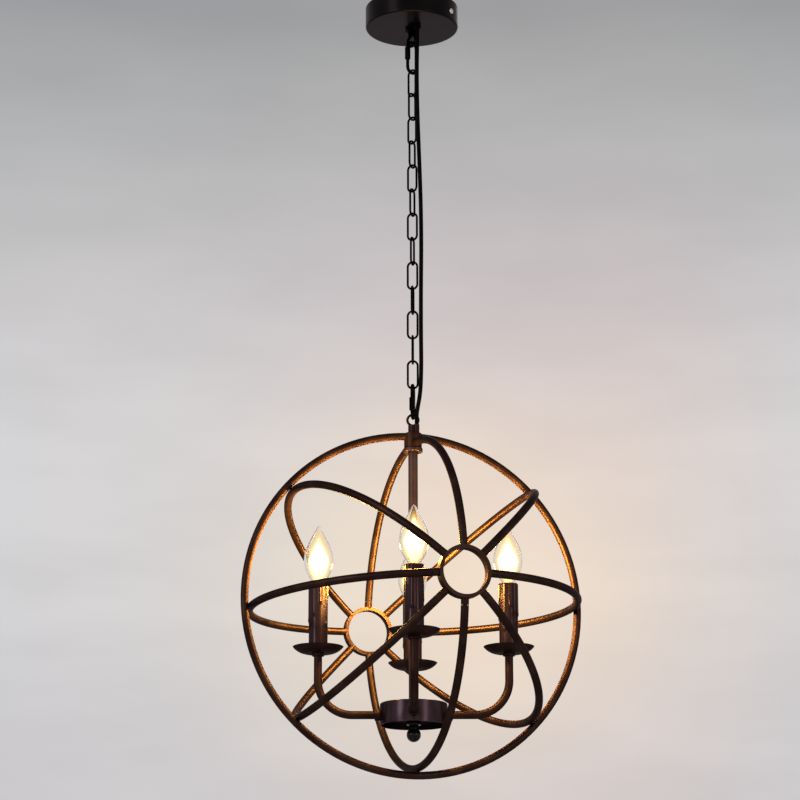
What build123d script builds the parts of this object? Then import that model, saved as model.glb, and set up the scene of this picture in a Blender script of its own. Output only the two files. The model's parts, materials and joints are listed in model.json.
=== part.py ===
"""Orb chandelier, hung from the ceiling by a chain. Millimetres, +Z up.

The origin is the centre of the mounting plate's top face, on the ceiling. +X is to the right and
+Y away, seen from the front. The chain, the stem and the orb's centre all lie on the Z axis.
"""

from build123d import *
from math import asin, cos, degrees, hypot, pi, radians, sin, sqrt, tan
import os

# --- Ceiling plate and canopy ---
CANOPY_DIAMETER = 114.0
CANOPY_HEIGHT = 26.0
CANOPY_WALL = 1.2
CANOPY_EDGE_RADIUS = 2.5
PLATE_THICKNESS = 2.0
PLATE_CLEARANCE = 1.2
SLOT_SPACING = 70.0
SLOT_LENGTH = 24.0
SLOT_WIDTH = 5.0
CABLE_HOLE_DIAMETER = 16.0
EAR_WIDTH = 14.0
EAR_BELOW_SCREW = 5.0
SIDE_SCREW_AZIMUTH = -34.0
SIDE_SCREW_UP = 10.0
SIDE_SCREW_DIAMETER = 4.0
SIDE_SCREW_HEAD = 7.0
SIDE_SCREW_HEAD_HEIGHT = 2.2
SIDE_SCREW_HEAD_RADIUS = 1.3
SIDE_SCREW_LENGTH = 9.0
SCREW_CLEARANCE = 0.3

# --- Loop under the canopy ---
CANOPY_LOOP_WIRE = 4.0
CANOPY_LOOP_INNER = 10.0
CANOPY_LOOP_NECK = 6.5
CANOPY_LOOP_NECK_DIAMETER = 9.0
CANOPY_LOOP_COLLAR = 16.0
CANOPY_LOOP_COLLAR_HEIGHT = 2.5
LOOP_SHANK_DIAMETER = 10.0
LOOP_SHANK_SPARE = 1.2
LOOP_NUT_FLATS = 17.0
LOOP_NUT_HEIGHT = 4.5

# --- Cord gland, terminal block and leads ---
GLAND_X = 6.5
GLAND_Y = -12.0
GLAND_DIAMETER = 9.0
GLAND_BODY_DIAMETER = 7.5
GLAND_DROP = 4.5
GLAND_RISE = 4.0
GLAND_EDGE_RADIUS = 0.75
BLOCK_LENGTH = 30.0
BLOCK_WIDTH = 15.0
BLOCK_HEIGHT = 13.0
BLOCK_Y = 14.0
BLOCK_EDGE_RADIUS = 1.5
LEAD_DIAMETER = 1.8
LEAD_SPACING = 2.4
LEAD_BEND_RADIUS = 3.5
LEAD_ABOVE_SHANK = 7.0
LEAD_IN_BLOCK = 5.0

# --- Quick links and chain ---
QUICK_LINK_WIRE = 4.0
QUICK_LINK_INNER_LENGTH = 36.0
QUICK_LINK_OUTER_WIDTH = 18.0
QUICK_LINK_GAP = 4.5
QUICK_LINK_STUB = 3.7
SLEEVE_FLATS = 6.2
SLEEVE_LENGTH = 16.0
SLEEVE_OVERLAP = 3.1
SLEEVE_CHAMFER = 0.78
SLEEVE_RUNNING_CLEARANCE = 0.05
CHAIN_LINKS = 13
CHAIN_WIRE = 2.6
CHAIN_INNER_LENGTH = 31.3
CHAIN_OUTER_WIDTH = 14.4
CONTACT_GAP = 0.3
LINK_TWIST = -3.75
LOWER_QUICK_LINK_AZIMUTH = 82.0

# --- Fixture loop, boss and collar at the top of the cage ---
FIXTURE_LOOP_WIRE = 3.0
FIXTURE_LOOP_INNER = 10.0
FIXTURE_LOOP_NECK = 8.4
FIXTURE_LOOP_NECK_DIAMETER = 11.2
FIXTURE_SHANK_DIAMETER = 9.0
FIXTURE_SHANK_LENGTH = 8.0
SPOUT_X = 4.5
SPOUT_Y = -5.2
SPOUT_DIAMETER = 6.2
BOSS_DIAMETER = 21.0
BOSS_HEIGHT = 18.0
BOSS_EDGE_RADIUS = 1.0
BOSS_UNDERHANG = 0.5
BOSS_PASSAGE_DIAMETER = 7.0
COLLAR_DIAMETER = 23.0
COLLAR_HEIGHT = 5.0
COLLAR_EDGE_RADIUS = 1.2

# --- Cage ---
RING_RADIUS = 200.0
ROD_DIAMETER = 9.0
RING_AZIMUTH = 14.2
PORTHOLE_AZIMUTH = 16.65
PORTHOLE_OUTER_DIAMETER = 60.0
PORTHOLE_WALL = 4.25
PORTHOLE_DEPTH = 11.0
PORTHOLE_OFFSET = 1.4
STUB_LENGTH = 6.5
SEAM = 0.4
SPIGOT_DIAMETER = 5.0
SPIGOT_LENGTH = 8.0
SPIGOT_END_GAP = 0.4
TOP_ARC_ANGLE = 0.0
# Each bar's angle round the portholes' axis, from straight up towards the left.
ARC_ANGLES = {
    "upper_left": 48.8,
    "left": 93.2,
    "lower_left": 135.8,
    "bottom": 181.7,
    "lower_right": 225.9,
    "right": 270.5,
    "upper_right": 314.6,
}

# --- Stem, hub and finial ---
STEM_DIAMETER = 11.2
STEM_BORE = 8.2
STEM_IN_BOSS = 8.0
STEM_IN_FINIAL = 5.2
STEM_WINDOW = 5.0
HUB_BELOW_CENTRE = 117.5
HUB_DIAMETER = 78.0
HUB_HEIGHT = 25.0
HUB_WALL = 1.5
HUB_EDGE_RADIUS = 1.2
HUB_NUT_FLATS = 17.0
HUB_NUT_HEIGHT = 3.5
COVER_THICKNESS = 1.2
COVER_UNDER_ARMS = 0.4
FINIAL_COLLAR_DIAMETER = 17.0
FINIAL_COLLAR_HEIGHT = 5.6
FINIAL_COLLAR_RADIUS = 1.4
FINIAL_NECK_DIAMETER = 12.0
FINIAL_NECK_HEIGHT = 5.0
FINIAL_BALL_DIAMETER = 16.6
FINIAL_BALL_BELOW_COVER = 16.6

# --- Arms and lamps ---
ARM_NAMES = ("right", "back", "left", "front")
ARM_REACH = 110.5
ARM_DIAMETER = 9.5
ARM_WALL = 1.3
ARM_BEND_RADIUS = 40.0
ARM_BELOW_HUB_TOP = 13.0
ARM_RISE = 84.5
ARM_INSIDE_HUB = 5.0
ARM_COLLAR_DIAMETER = 13.0
ARM_COLLAR_LENGTH = 6.0
PAN_DIAMETER = 59.0
PAN_DEPTH = 8.0
PAN_THICKNESS = 1.2
PAN_FLOOR_DIAMETER = 26.0
PAN_BELOW_ARM_TOP = 13.0
PAN_COLLAR_DIAMETER = 14.0
PAN_COLLAR_HEIGHT = 3.0
CANDLE_DIAMETER = 23.0
CANDLE_WALL = 1.2
CANDLE_HEIGHT = 80.3
HOLDER_CLEARANCE = 0.4
HOLDER_SKIRT = 6.0
HOLDER_HEIGHT = 32.0
HOLDER_BELOW_CANDLE_TOP = 2.0
HOLDER_STRAP_WIDTH = 9.0
HOLDER_STRAP_THICKNESS = 1.5
SOCKET_DEPTH = 20.0
BULB_CAP_DIAMETER = 11.8
BULB_CAP_CLEARANCE = 0.4
BULB_CAP_LENGTH = 20.2
BULB_CAP_WALL = 0.6
BULB_DIAMETER = 35.0
BULB_GLASS_HEIGHT = 71.0
BULB_GLASS_WALL = 0.9
BULB_NECK_DIAMETER = 13.0
BULB_NECK_HEIGHT = 3.0
BULB_BELLY_HEIGHT = 29.0
BULB_TIP_DIAMETER = 3.0
# How far the glass leans outwards over its neck and inwards at its tip, for each unit of height.
BULB_NECK_SLOPE = 0.75
BULB_TIP_SLOPE = 0.3

# --- Wiring and power cord ---
HARNESS_DIAMETER = 2.8
HARNESS_CLEARANCE = 0.5
HARNESS_BEND_RADIUS = 5.0
HARNESS_STRAIGHT = 4.0
CORD_DIAMETER = 5.0
# The cord's route from inside the canopy down to the spout beside the fixture loop.
CORD_POINTS = [
    (6.5, -12.0, -20.0),
    (6.5, -12.0, -45.0),
    (5.7, -11.3, -88.0),
    (6.3, -10.9, -136.0),
    (8.2, -9.7, -192.0),
    (10.1, -8.3, -250.0),
    (10.7, -7.6, -306.0),
    (10.0, -7.1, -362.0),
    (9.8, -6.4, -415.0),
    (10.2, -5.9, -461.0),
    (9.0, -5.6, -494.0),
    (4.5, -5.2, -517.0),
    (4.5, -5.2, -532.1),
]
CORD_ARC_SHARE = 0.45

# --- Levels and radii that follow from the sizes above ---
canopy_radius = CANOPY_DIAMETER / 2
rod_radius = ROD_DIAMETER / 2
arc_radius = RING_RADIUS - ROD_DIAMETER
canopy_loop_z = -CANOPY_HEIGHT - CANOPY_LOOP_NECK - CANOPY_LOOP_INNER / 2 - CANOPY_LOOP_WIRE
canopy_loop_pivot_z = canopy_loop_z - (CANOPY_LOOP_INNER + CANOPY_LOOP_WIRE) / 2
upper_quick_link_z = canopy_loop_pivot_z + (CANOPY_LOOP_WIRE + QUICK_LINK_WIRE) / 2 + CONTACT_GAP
quick_link_drop = QUICK_LINK_INNER_LENGTH + QUICK_LINK_WIRE
chain_drop = CHAIN_INNER_LENGTH + CHAIN_WIRE
mixed_contact = (QUICK_LINK_WIRE + CHAIN_WIRE) / 2 + CONTACT_GAP
first_link_z = upper_quick_link_z - quick_link_drop + mixed_contact
chain_pitch = CHAIN_INNER_LENGTH - CONTACT_GAP
last_link_bottom_z = first_link_z - (CHAIN_LINKS - 1) * chain_pitch - chain_drop
lower_quick_link_z = last_link_bottom_z + mixed_contact
lower_pivot_z = lower_quick_link_z - quick_link_drop
fixture_loop_radius = (FIXTURE_LOOP_INNER + FIXTURE_LOOP_WIRE) / 2
fixture_contact = (QUICK_LINK_WIRE + FIXTURE_LOOP_WIRE) / 2 + CONTACT_GAP
fixture_loop_z = lower_pivot_z + fixture_contact - fixture_loop_radius
neck_top_z = fixture_loop_z - fixture_loop_radius
boss_top_z = fixture_loop_z - FIXTURE_LOOP_INNER / 2 - FIXTURE_LOOP_WIRE - FIXTURE_LOOP_NECK
boss_bottom_z = boss_top_z - BOSS_HEIGHT
orb_z = boss_bottom_z + BOSS_UNDERHANG - arc_radius + rod_radius
stem_top_z = boss_bottom_z + STEM_IN_BOSS
hub_top_z = orb_z - HUB_BELOW_CENTRE
arm_z = hub_top_z - ARM_BELOW_HUB_TOP
cover_top_z = arm_z - ARM_DIAMETER / 2 - COVER_UNDER_ARMS
cover_bottom_z = cover_top_z - COVER_THICKNESS
stem_bottom_z = cover_bottom_z - STEM_IN_FINIAL
arm_top_z = arm_z + ARM_RISE
pan_bottom_z = arm_top_z - PAN_BELOW_ARM_TOP
candle_bottom_z = pan_bottom_z + PAN_THICKNESS
candle_top_z = candle_bottom_z + CANDLE_HEIGHT
holder_top_z = candle_top_z - HOLDER_BELOW_CANDLE_TOP
socket_floor_z = holder_top_z - SOCKET_DEPTH
orb = Pos(0, 0, orb_z)
porthole_frame = orb * Rot(0, 0, PORTHOLE_AZIMUTH)
BOTTOM = (Align.CENTER, Align.CENTER, Align.MIN)


def cylinder(diameter, bottom, top):
    """Upright cylinder on the Z axis between two levels."""
    return Pos(0, 0, bottom) * Cylinder(diameter / 2, top - bottom, align=BOTTOM)


def hexagon(flats, bottom, top):
    """Upright hexagonal prism, given across its flats."""
    outline = RegularPolygon(flats / 2, 6, major_radius=False)
    return Pos(0, 0, bottom) * extrude(outline, top - bottom)


def round_rod(start, end, diameter):
    """Straight round bar between two points."""
    start = Vector(*start)
    end = Vector(*end)
    plane = Plane(origin=start, z_dir=end - start)
    return plane * Cylinder(diameter / 2, (end - start).length, align=BOTTOM)


def tube_along(points, radii, diameter):
    """Round bar along straight runs joined by arcs, one radius for each corner."""
    path = FilletPolyline(*points, radius=radii)
    section = Plane(origin=path @ 0, z_dir=path % 0) * Circle(diameter / 2)
    return sweep(section, path=path)


def cut_all(shape, tools):
    """Take every tool away from the shape."""
    for tool in tools:
        shape = shape - tool
    return shape


# --- Ceiling plate and canopy ---
def side_places():
    """The two places round the canopy where the side screws go in, facing outwards along X."""
    screw_z = -CANOPY_HEIGHT + SIDE_SCREW_UP
    return [Pos(0, 0, screw_z) * Rot(0, 0, SIDE_SCREW_AZIMUTH + turn) for turn in (0, 180)]


def ear_reach():
    """Distance from the axis to an ear's outer face, so that its corners stay inside the canopy."""
    return sqrt((canopy_radius - CANOPY_WALL - PLATE_CLEARANCE) ** 2 - (EAR_WIDTH / 2) ** 2)


def mounting_plate():
    reach = ear_reach()
    plate = cylinder(2 * reach, -PLATE_THICKNESS, 0)
    ear_bottom = CANOPY_HEIGHT - SIDE_SCREW_UP + EAR_BELOW_SCREW
    for turn in (0, 180):
        ear = Box(PLATE_THICKNESS, EAR_WIDTH, ear_bottom, align=(Align.MAX, Align.CENTER, Align.MAX))
        plate = plate + Rot(0, 0, SIDE_SCREW_AZIMUTH + turn) * Pos(reach, 0, 0) * ear
    slot = Pos(0, 0, -PLATE_THICKNESS) * extrude(SlotOverall(SLOT_LENGTH, SLOT_WIDTH), PLATE_THICKNESS)
    tools = [Pos(side * SLOT_SPACING / 2, 0, 0) * slot for side in (-1, 1)]
    tools.append(cylinder(CABLE_HOLE_DIAMETER, -PLATE_THICKNESS, 0))
    for place in side_places():
        tools.append(place * round_rod((reach / 2, 0, 0), (canopy_radius, 0, 0), SIDE_SCREW_DIAMETER))
    return cut_all(plate, tools)


def canopy():
    outer = cylinder(CANOPY_DIAMETER, -CANOPY_HEIGHT, 0)
    outer = fillet(outer.edges().group_by(Axis.Z)[0], CANOPY_EDGE_RADIUS)
    inner = cylinder(CANOPY_DIAMETER - 2 * CANOPY_WALL, CANOPY_WALL - CANOPY_HEIGHT, 0)
    inner = fillet(inner.edges().group_by(Axis.Z)[0], CANOPY_EDGE_RADIUS - CANOPY_WALL)
    tools = [inner, cylinder(LOOP_SHANK_DIAMETER, -CANOPY_HEIGHT, 0)]
    tools.append(Pos(GLAND_X, GLAND_Y, 0) * cylinder(GLAND_BODY_DIAMETER, -CANOPY_HEIGHT, 0))
    hole = SIDE_SCREW_DIAMETER + 2 * SCREW_CLEARANCE
    for place in side_places():
        tools.append(place * round_rod((canopy_radius / 2, 0, 0), (2 * canopy_radius, 0, 0), hole))
    return cut_all(outer, tools)


def canopy_side_screws():
    shank_start = (canopy_radius - SIDE_SCREW_LENGTH, 0, 0)
    head_start = (canopy_radius, 0, 0)
    head_end = (canopy_radius + SIDE_SCREW_HEAD_HEIGHT, 0, 0)
    head = round_rod(head_start, head_end, SIDE_SCREW_HEAD)
    head = fillet(head.edges().group_by(Axis.X)[-1], SIDE_SCREW_HEAD_RADIUS)
    screw = round_rod(shank_start, head_start, SIDE_SCREW_DIAMETER) + head
    return Compound(children=[place * screw for place in side_places()])


def ring_loop(wire, inner, azimuth):
    """Upright wire ring about the origin, lying in the plane at this azimuth."""
    return Rot(0, 0, azimuth) * Rot(90, 0, 0) * Torus((inner + wire) / 2, wire / 2)


def canopy_loop():
    loop = Pos(0, 0, canopy_loop_z) * ring_loop(CANOPY_LOOP_WIRE, CANOPY_LOOP_INNER, chain_azimuth(0) + 90)
    neck_bottom = -CANOPY_HEIGHT - CANOPY_LOOP_NECK - CANOPY_LOOP_WIRE / 2
    neck = cylinder(CANOPY_LOOP_NECK_DIAMETER, neck_bottom, -CANOPY_HEIGHT)
    collar = cylinder(CANOPY_LOOP_COLLAR, -CANOPY_HEIGHT - CANOPY_LOOP_COLLAR_HEIGHT, -CANOPY_HEIGHT)
    shank_top = CANOPY_WALL - CANOPY_HEIGHT + LOOP_NUT_HEIGHT + LOOP_SHANK_SPARE
    return neck + loop + collar + cylinder(LOOP_SHANK_DIAMETER, -CANOPY_HEIGHT, shank_top)


def canopy_loop_nut():
    floor = CANOPY_WALL - CANOPY_HEIGHT
    nut = hexagon(LOOP_NUT_FLATS, floor, floor + LOOP_NUT_HEIGHT)
    return nut - cylinder(LOOP_SHANK_DIAMETER, floor, 0)


def cord_gland():
    floor = CANOPY_WALL - CANOPY_HEIGHT
    gland = cylinder(GLAND_DIAMETER, -CANOPY_HEIGHT - GLAND_DROP, -CANOPY_HEIGHT)
    gland = fillet(gland.edges().group_by(Axis.Z)[0], GLAND_EDGE_RADIUS)
    gland = gland + cylinder(GLAND_BODY_DIAMETER, -CANOPY_HEIGHT, floor + GLAND_RISE)
    gland = gland - cylinder(CORD_DIAMETER, -2 * CANOPY_HEIGHT, 0)
    return Pos(GLAND_X, GLAND_Y, 0) * gland


def terminal_block():
    block = Box(BLOCK_LENGTH, BLOCK_WIDTH, BLOCK_HEIGHT, align=(Align.CENTER, Align.MIN, Align.MAX))
    block = Pos(0, BLOCK_Y, -PLATE_THICKNESS) * fillet(block.edges().filter_by(Axis.Z), BLOCK_EDGE_RADIUS)
    hole = LEAD_DIAMETER
    for x in lead_places():
        block = block - round_rod((x, BLOCK_Y, lead_z()), (x, BLOCK_Y + LEAD_IN_BLOCK, lead_z()), hole)
    return block


def lead_places():
    return [GLAND_X + side * LEAD_SPACING / 2 for side in (-1, 1)]


def lead_z():
    """Level at which the leads cross over the canopy loop's shank."""
    shank_top = CANOPY_WALL - CANOPY_HEIGHT + LOOP_NUT_HEIGHT + LOOP_SHANK_SPARE
    return shank_top + LEAD_ABOVE_SHANK + LEAD_DIAMETER / 2


def canopy_leads():
    leads = []
    for x in lead_places():
        start = (x, GLAND_Y, CORD_POINTS[0][2])
        corner = (x, GLAND_Y, lead_z())
        end = (x, BLOCK_Y + LEAD_IN_BLOCK, lead_z())
        points = [start, corner, end]
        leads.append(tube_along(points, [LEAD_BEND_RADIUS], LEAD_DIAMETER))
    return Compound(children=leads)


# --- Quick links and chain ---
def wire_link(wire, drop, outer_width):
    """Oval wire link in the XZ plane, hanging from its top bow's centre line at the origin."""
    radius = (outer_width - wire) / 2
    bow = Rot(90, 0, 0) * Torus(radius, wire / 2)
    half_space = Box(4 * outer_width, 4 * wire, 4 * outer_width, align=BOTTOM)
    link = Pos(0, 0, -radius) * (bow & half_space)
    link = link + Pos(0, 0, radius - drop) * (bow - half_space)
    for side in (-1, 1):
        x = side * radius
        link = link + round_rod((x, 0, radius - drop), (x, 0, -radius), wire)
    return link


def chain_azimuth(number):
    """Azimuth of a link's plane. The last link lies across the view and the rest twist from it."""
    return (CHAIN_LINKS - number) * (90 + LINK_TWIST)


def chain_link(number):
    link = wire_link(CHAIN_WIRE, chain_drop, CHAIN_OUTER_WIDTH)
    top_z = first_link_z - (number - 1) * chain_pitch
    return Pos(0, 0, top_z) * Rot(0, 0, chain_azimuth(number)) * link


def quick_link_parts():
    """Body and closed sleeve of a quick link, with the gap near its top. The sleeve opens downwards."""
    radius = (QUICK_LINK_OUTER_WIDTH - QUICK_LINK_WIRE) / 2
    leg_top = -radius
    gap_top = leg_top - QUICK_LINK_STUB
    gap_bottom = gap_top - QUICK_LINK_GAP
    sleeve_top = gap_top + SLEEVE_OVERLAP
    body = wire_link(QUICK_LINK_WIRE, quick_link_drop, QUICK_LINK_OUTER_WIDTH)
    gap = cylinder(2 * QUICK_LINK_WIRE, gap_bottom, gap_top)
    body = body - Pos(-radius, 0, 0) * gap
    sleeve = hexagon(SLEEVE_FLATS, sleeve_top - SLEEVE_LENGTH, sleeve_top)
    corner = SLEEVE_FLATS / sqrt(3)
    turned = Pos(0, 0, sleeve_top - SLEEVE_LENGTH) * Cylinder(corner, SLEEVE_LENGTH, align=BOTTOM)
    sleeve = sleeve & chamfer(turned.edges(), SLEEVE_CHAMFER)
    sleeve = sleeve - cylinder(QUICK_LINK_WIRE + 2 * SLEEVE_RUNNING_CLEARANCE, -2 * quick_link_drop, 0)
    return body, Pos(-radius, 0, 0) * sleeve


def upper_quick_link():
    place = Pos(0, 0, upper_quick_link_z) * Rot(0, 0, chain_azimuth(0))
    return [place * piece for piece in quick_link_parts()]


def lower_quick_link():
    """The same quick link upside down, so its sleeve opens upwards."""
    turned = Pos(0, 0, -quick_link_drop) * Rot(180, 0, 0)
    place = Pos(0, 0, lower_quick_link_z) * Rot(0, 0, LOWER_QUICK_LINK_AZIMUTH)
    return [place * turned * piece for piece in quick_link_parts()]


# --- Top of the cage ---
def harness_tube(diameter):
    """The main lead's run from the spout to the stem's windows, or the way that it needs."""
    turn_in_z = neck_top_z - HARNESS_STRAIGHT
    points = [
        (SPOUT_X, SPOUT_Y, neck_top_z),
        (SPOUT_X, SPOUT_Y, turn_in_z),
        (0, 0, turn_in_z - 2 * hypot(SPOUT_X, SPOUT_Y)),
        (0, 0, arm_z),
    ]
    return tube_along(points, [HARNESS_BEND_RADIUS, HARNESS_BEND_RADIUS], diameter)


def lead_way():
    return harness_tube(HARNESS_DIAMETER + 2 * HARNESS_CLEARANCE)


def fixture_loop():
    loop = Pos(0, 0, fixture_loop_z) * ring_loop(FIXTURE_LOOP_WIRE, FIXTURE_LOOP_INNER, 0)
    neck = cylinder(FIXTURE_LOOP_NECK_DIAMETER, boss_top_z, neck_top_z)
    spout = Pos(SPOUT_X, SPOUT_Y, 0) * cylinder(SPOUT_DIAMETER, boss_top_z, neck_top_z)
    shank = cylinder(FIXTURE_SHANK_DIAMETER, boss_top_z - FIXTURE_SHANK_LENGTH, boss_top_z)
    return loop + neck + spout + shank - lead_way()


def cage_boss():
    boss = cylinder(BOSS_DIAMETER, boss_bottom_z, boss_top_z)
    boss = fillet(boss.edges().group_by(Axis.Z)[-1], BOSS_EDGE_RADIUS)
    tools = [
        cylinder(STEM_DIAMETER, boss_bottom_z, stem_top_z),
        cylinder(BOSS_PASSAGE_DIAMETER, boss_bottom_z, boss_top_z),
        cylinder(FIXTURE_SHANK_DIAMETER, boss_top_z - FIXTURE_SHANK_LENGTH, boss_top_z),
        lead_way(),
    ]
    return cut_all(boss, tools)


def stem_collar():
    collar = cylinder(COLLAR_DIAMETER, boss_bottom_z - COLLAR_HEIGHT, boss_bottom_z)
    rims = collar.edges().filter_by(GeomType.CIRCLE)
    collar = fillet(rims, COLLAR_EDGE_RADIUS)
    return collar - cylinder(STEM_DIAMETER, boss_bottom_z - COLLAR_HEIGHT, boss_bottom_z)


# --- Cage ---
def outer_ring():
    ring = orb * ring_loop(ROD_DIAMETER, 2 * RING_RADIUS - ROD_DIAMETER, RING_AZIMUTH)
    return ring - cylinder(BOSS_DIAMETER, orb_z, 0)


def bar_plane(angle, along):
    """Square section of a cage bar: its angle round the portholes' axis, and how far along from the
    front porthole's centre, both in degrees."""
    across = Vector(-sin(radians(angle)), 0, cos(radians(angle)))
    front = Vector(0, -1, 0)
    radial = front * cos(radians(along)) + across * sin(radians(along))
    tangent = across * cos(radians(along)) - front * sin(radians(along))
    return Plane(origin=radial * arc_radius, z_dir=tangent)


def cage_bar(angle, start, end):
    """Part of a half circle of rod from the front porthole's side to the back porthole's."""
    across = Vector(-sin(radians(angle)), 0, cos(radians(angle)))
    axis = Axis((0, 0, 0), Vector(0, -1, 0).cross(across))
    return revolve(bar_plane(angle, start) * Circle(rod_radius), axis, end - start)


def rim_angle():
    """How far along a bar it meets the porthole's outer wall."""
    return degrees(asin(PORTHOLE_OUTER_DIAMETER / 2 / arc_radius))


def along_degrees(length):
    return degrees(length / arc_radius)


def spigot(angle, length):
    """Pin that starts inside the stub and runs straight into the bar."""
    stub_end = bar_plane(angle, rim_angle() + along_degrees(STUB_LENGTH))
    start = -STUB_LENGTH / 2
    return stub_end * Pos(0, 0, start) * Cylinder(SPIGOT_DIAMETER / 2, length - start, align=BOTTOM)


def back_turn():
    """Half turn that takes the front of the cage to its back, with up still up."""
    return Rot(0, 0, 180)


def porthole(angles):
    """Front porthole about the orb's centre: its band and a stub and pin for each bar."""
    middle = arc_radius * cos(radians(rim_angle())) + PORTHOLE_OFFSET
    band = Cylinder(PORTHOLE_OUTER_DIAMETER / 2, PORTHOLE_DEPTH)
    band = band - Cylinder(PORTHOLE_OUTER_DIAMETER / 2 - PORTHOLE_WALL, PORTHOLE_DEPTH)
    shape = Pos(0, -middle, 0) * Rot(90, 0, 0) * band
    stub_start = rim_angle() - along_degrees(PORTHOLE_WALL / 2)
    stub_end = rim_angle() + along_degrees(STUB_LENGTH)
    for angle in angles:
        shape = shape + cage_bar(angle, stub_start, stub_end)
        shape = shape + spigot(angle, SEAM + SPIGOT_LENGTH)
    return shape


def portholes():
    angles = [TOP_ARC_ANGLE] + list(ARC_ANGLES.values())
    front = porthole(angles)
    back = back_turn() * porthole([-angle for angle in angles])
    return porthole_frame * front, porthole_frame * back


def bar_start():
    return rim_angle() + along_degrees(STUB_LENGTH + SEAM)


def spigot_bore(angle):
    return spigot(angle, SEAM + SPIGOT_LENGTH + SPIGOT_END_GAP)


def cage_arc(angle):
    """One bar of the inner cage, from the front porthole's stub to the back porthole's."""
    bar = cage_bar(angle, bar_start(), 180 - bar_start())
    bar = bar - spigot_bore(angle) - back_turn() * spigot_bore(-angle)
    return porthole_frame * bar


def top_arcs():
    """The top bar, in a front and a back half that end against the boss."""
    front = porthole_frame * (cage_bar(TOP_ARC_ANGLE, bar_start(), 90) - spigot_bore(TOP_ARC_ANGLE))
    back_half = back_turn() * (cage_bar(-TOP_ARC_ANGLE, bar_start(), 90) - spigot_bore(-TOP_ARC_ANGLE))
    back = porthole_frame * back_half
    boss_space = cylinder(BOSS_DIAMETER, orb_z, 0)
    return front - boss_space, back - boss_space


# --- Stem, hub and finial ---
def arm_turns():
    """Each arm's name with the turn that brings it round from +X."""
    return {name: Rot(0, 0, 90 * number) for number, name in enumerate(ARM_NAMES)}


def stem():
    tube = cylinder(STEM_DIAMETER, stem_bottom_z, stem_top_z)
    tube = tube - cylinder(STEM_BORE, stem_bottom_z, stem_top_z)
    window = round_rod((0, 0, arm_z), (STEM_DIAMETER, 0, arm_z), STEM_WINDOW)
    return cut_all(tube, [turn * window for turn in arm_turns().values()])


def hub_body():
    bottom = hub_top_z - HUB_HEIGHT
    body = cylinder(HUB_DIAMETER, bottom, hub_top_z)
    body = fillet(body.edges().group_by(Axis.Z)[-1], HUB_EDGE_RADIUS)
    hole = round_rod((HUB_DIAMETER / 4, 0, arm_z), (HUB_DIAMETER, 0, arm_z), ARM_DIAMETER)
    tools = [cylinder(HUB_DIAMETER - 2 * HUB_WALL, bottom, hub_top_z - HUB_WALL)]
    tools.append(cylinder(STEM_DIAMETER, bottom, hub_top_z))
    tools += [turn * hole for turn in arm_turns().values()]
    return cut_all(body, tools)


def hub_cover():
    cover = cylinder(HUB_DIAMETER - 2 * HUB_WALL, cover_bottom_z, cover_top_z)
    return cover - cylinder(STEM_DIAMETER, cover_bottom_z, cover_top_z)


def hub_nut():
    top = hub_top_z - HUB_WALL
    nut = hexagon(HUB_NUT_FLATS, top - HUB_NUT_HEIGHT, top)
    return nut - cylinder(STEM_DIAMETER, top - HUB_NUT_HEIGHT, top)


def finial():
    collar_bottom = cover_bottom_z - FINIAL_COLLAR_HEIGHT
    neck_bottom = collar_bottom - FINIAL_NECK_HEIGHT
    ball_z = cover_bottom_z - FINIAL_BALL_BELOW_COVER
    collar = cylinder(FINIAL_COLLAR_DIAMETER, collar_bottom, cover_bottom_z)
    collar = fillet(collar.edges().group_by(Axis.Z)[0], FINIAL_COLLAR_RADIUS)
    ball = Pos(0, 0, ball_z) * Sphere(FINIAL_BALL_DIAMETER / 2)
    shape = collar + cylinder(FINIAL_NECK_DIAMETER, neck_bottom, collar_bottom) + ball
    return shape - cylinder(STEM_DIAMETER, stem_bottom_z, cover_bottom_z)


# --- Arms and lamps ---
def arm():
    """Arm towards +X: out of the hub, round the bend and up to the lampholder."""
    inner_end = HUB_DIAMETER / 2 - ARM_INSIDE_HUB
    points = [(inner_end, 0, arm_z), (ARM_REACH, 0, arm_z), (ARM_REACH, 0, arm_top_z)]
    tube = tube_along(points, [ARM_BEND_RADIUS], ARM_DIAMETER)
    return tube - tube_along(points, [ARM_BEND_RADIUS], ARM_DIAMETER - 2 * ARM_WALL)


def arm_collar():
    inside = HUB_DIAMETER / 2 - HUB_WALL
    outside = HUB_DIAMETER / 2 + ARM_COLLAR_LENGTH
    collar = round_rod((inside, 0, arm_z), (outside, 0, arm_z), ARM_COLLAR_DIAMETER)
    hub_space = cylinder(HUB_DIAMETER, hub_top_z - HUB_HEIGHT, hub_top_z)
    return collar - round_rod((inside, 0, arm_z), (outside, 0, arm_z), ARM_DIAMETER) - hub_space


def drip_pan():
    """Shallow dish round the arm, its floor flat in the middle and curved up to the rim."""
    hole = ARM_DIAMETER / 2
    floor = PAN_FLOOR_DIAMETER / 2
    rim = PAN_DIAMETER / 2
    low = pan_bottom_z
    outline = Line((hole, low), (floor, low))
    lip = (rim, low + PAN_DEPTH)
    inner_lip = (rim - PAN_THICKNESS, low + PAN_DEPTH)
    outline += TangentArc((floor, low), lip, tangent=(1, 0))
    outline += Line(lip, inner_lip)
    outline += TangentArc((floor, low + PAN_THICKNESS), inner_lip, tangent=(1, 0))
    outline += Line((floor, low + PAN_THICKNESS), (hole, low + PAN_THICKNESS))
    outline += Line((hole, low + PAN_THICKNESS), (hole, low))
    pan = revolve(Plane.XZ * make_face(outline), Axis.Z)
    collar = cylinder(PAN_COLLAR_DIAMETER, low - PAN_COLLAR_HEIGHT, low)
    return Pos(ARM_REACH, 0, 0) * (pan + collar - cylinder(ARM_DIAMETER, low - PAN_COLLAR_HEIGHT, low))


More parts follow.
